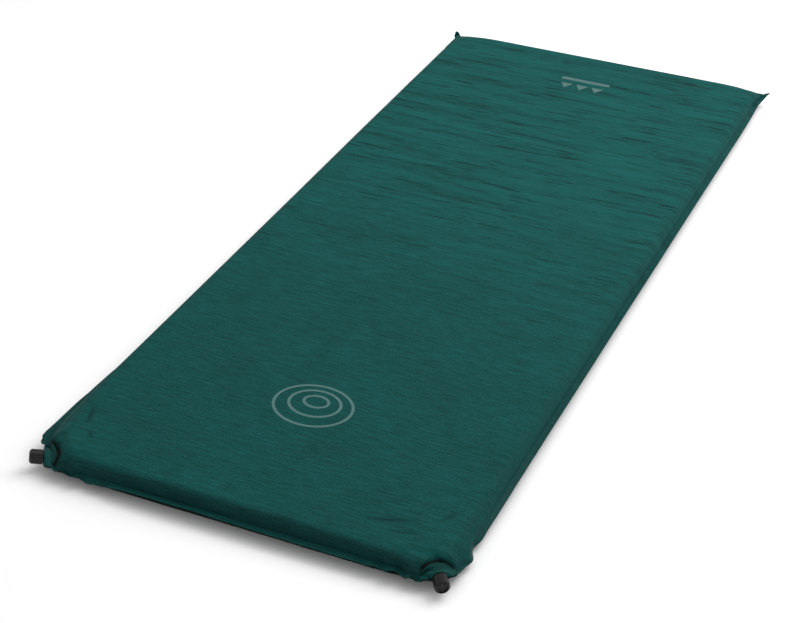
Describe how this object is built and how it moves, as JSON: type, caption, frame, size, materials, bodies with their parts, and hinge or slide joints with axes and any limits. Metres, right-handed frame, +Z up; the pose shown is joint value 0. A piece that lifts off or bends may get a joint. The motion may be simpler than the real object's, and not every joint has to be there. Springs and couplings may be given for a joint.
{
  "type": "self-inflating sleeping pad",
  "caption": "Long flat rectangular camping pad with a welded seam all round, cut corners at one end and a fluted screw valve in each of them.",
  "frame": {"origin": "on the floor under the middle of the pad", "axes": "+Z up, +Y along the pad to its plain end, the valves at the -Y end, +X across the pad"},
  "size_m": [0.8, 1.9672, 0.05],
  "materials": {
    "top_fabric": "brushed matte weave",
    "bottom_fabric": "plain coated weave",
    "foam": "open-cell foam",
    "print": "screen print",
    "valve_plastic": "moulded",
    "cap_plastic": "moulded, fluted",
    "inner_plastic": "moulded",
    "seal_rubber": "smooth"
  },
  "bodies": {
    "pad": {"top_sheet": "top_fabric", "bottom_sheet": "bottom_fabric", "foam_core": "foam", "ring_mark": "print", "peak_mark": "print", "left_valve_body": "valve_plastic", "left_neck_o_ring": "seal_rubber", "right_valve_body": "valve_plastic", "right_neck_o_ring": "seal_rubber"},
    "left_stem": {"left_plunger": "inner_plastic", "left_plunger_o_ring": "seal_rubber", "left_retaining_clip": "inner_plastic"},
    "left_knob": {"left_cap": "cap_plastic", "left_mouthpiece": "inner_plastic"},
    "right_stem": {"right_plunger": "inner_plastic", "right_plunger_o_ring": "seal_rubber", "right_retaining_clip": "inner_plastic"},
    "right_knob": {"right_cap": "cap_plastic", "right_mouthpiece": "inner_plastic"}
  },
  "joints": [
    {"name": "left_plunger_slide", "type": "slide", "parent": "pad", "child": "left_stem", "axis": [-0.8352, -0.5219, 0.1736], "range_m": [0, 0.005]},
    {"name": "left_cap_turn", "type": "hinge", "parent": "left_stem", "child": "left_knob", "pos_m": [-0.36667, -0.95374, 0.025], "axis": [-0.8352, -0.5219, 0.1736], "range_deg": [0, 360]},
    {"name": "right_plunger_slide", "type": "slide", "parent": "pad", "child": "right_stem", "axis": [0.5732, -0.8187, -0.0349], "range_m": [0, 0.005]},
    {"name": "right_cap_turn", "type": "hinge", "parent": "right_stem", "child": "right_knob", "pos_m": [0.37429, -0.95854, 0.025], "axis": [0.5732, -0.8187, -0.0349], "range_deg": [0, 360]}
  ],
  "couplings": [
    {"joint": "left_cap_turn", "follows": "left_plunger_slide", "rad_per_m": 1256.6},
    {"joint": "right_cap_turn", "follows": "right_plunger_slide", "rad_per_m": 1256.6}
  ]
}
